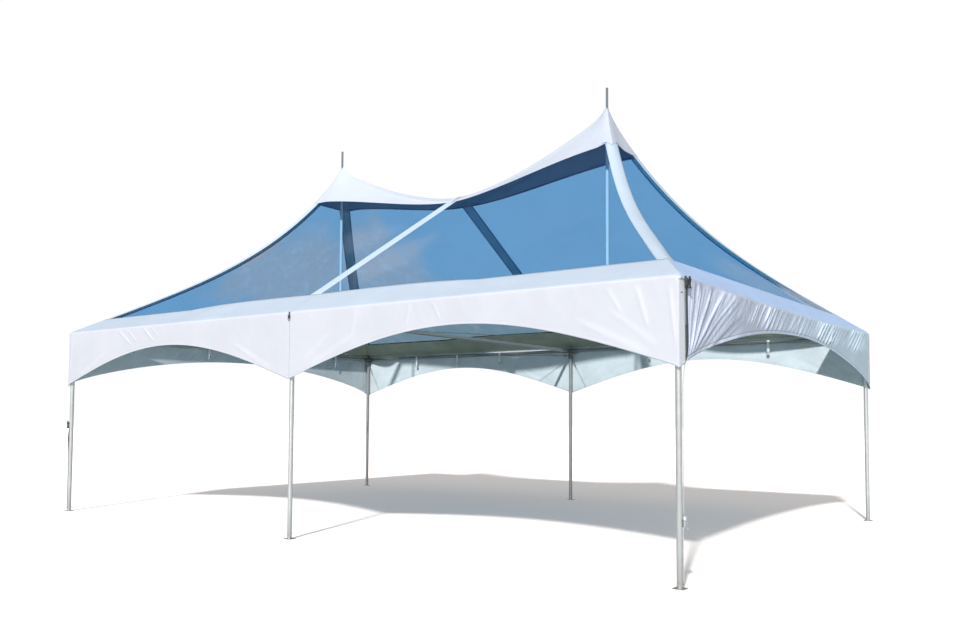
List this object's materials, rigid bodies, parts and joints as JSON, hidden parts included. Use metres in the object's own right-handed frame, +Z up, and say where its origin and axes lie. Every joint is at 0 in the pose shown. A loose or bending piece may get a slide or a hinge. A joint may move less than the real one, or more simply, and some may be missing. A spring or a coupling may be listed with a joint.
{
  "type": "marquee tent",
  "caption": "Twin-peak frame marquee with a stretched white roof, clear roof panels and arched valances on slim tube legs, open on all sides.",
  "frame": {"origin": "on the ground at the middle of the footprint", "axes": "+X along the tent, towards the right end in the picture; +Y towards the back; +Z up"},
  "size_m": [9.144, 6.096, 5.405],
  "materials": {
    "white_vinyl": "white coated polyester, satin",
    "clear_film": "clear film with a blue tint",
    "aluminium": "mill finish tube",
    "cast_fitting": "cast, matt",
    "galvanised_steel": "galvanised",
    "steel_cable": "stranded wire"
  },
  "bodies": {
    "root": {"front_left_leg": "aluminium", "front_left_foot": "galvanised_steel", "front_left_fitting": "cast_fitting", "front_middle_leg": "aluminium", "front_middle_foot": "galvanised_steel", "front_middle_fitting": "cast_fitting", "front_right_leg": "aluminium", "front_right_foot": "galvanised_steel", "front_right_fitting": "cast_fitting", "back_left_leg": "aluminium", "back_left_foot": "galvanised_steel", "back_left_fitting": "cast_fitting", "back_middle_leg": "aluminium", "back_middle_foot": "galvanised_steel", "back_middle_fitting": "cast_fitting", "back_right_leg": "aluminium", "back_right_foot": "galvanised_steel", "back_right_fitting": "cast_fitting", "front_left_eave_tube": "aluminium", "front_right_eave_tube": "aluminium", "back_left_eave_tube": "aluminium", "back_right_eave_tube": "aluminium", "left_end_tube": "aluminium", "right_end_tube": "aluminium", "crossbar": "aluminium", "left_mast": "aluminium", "right_mast": "aluminium", "left_cross_cables": "steel_cable", "right_cross_cables": "steel_cable", "front_mid_band": "white_vinyl", "front_left_valance": "white_vinyl", "front_left_hip_band": "white_vinyl", "front_left_window": "clear_film", "front_right_valance": "white_vinyl", "front_right_hip_band": "white_vinyl", "front_right_window": "clear_film", "back_mid_band": "white_vinyl", "back_left_valance": "white_vinyl", "back_left_hip_band": "white_vinyl", "back_left_window": "clear_film", "back_right_valance": "white_vinyl", "back_right_hip_band": "white_vinyl", "back_right_window": "clear_film", "left_end_valance": "white_vinyl", "left_crown": "white_vinyl", "left_end_window": "clear_film", "right_end_valance": "white_vinyl", "right_crown": "white_vinyl", "right_end_window": "clear_film"}
  },
  "joints": []
}
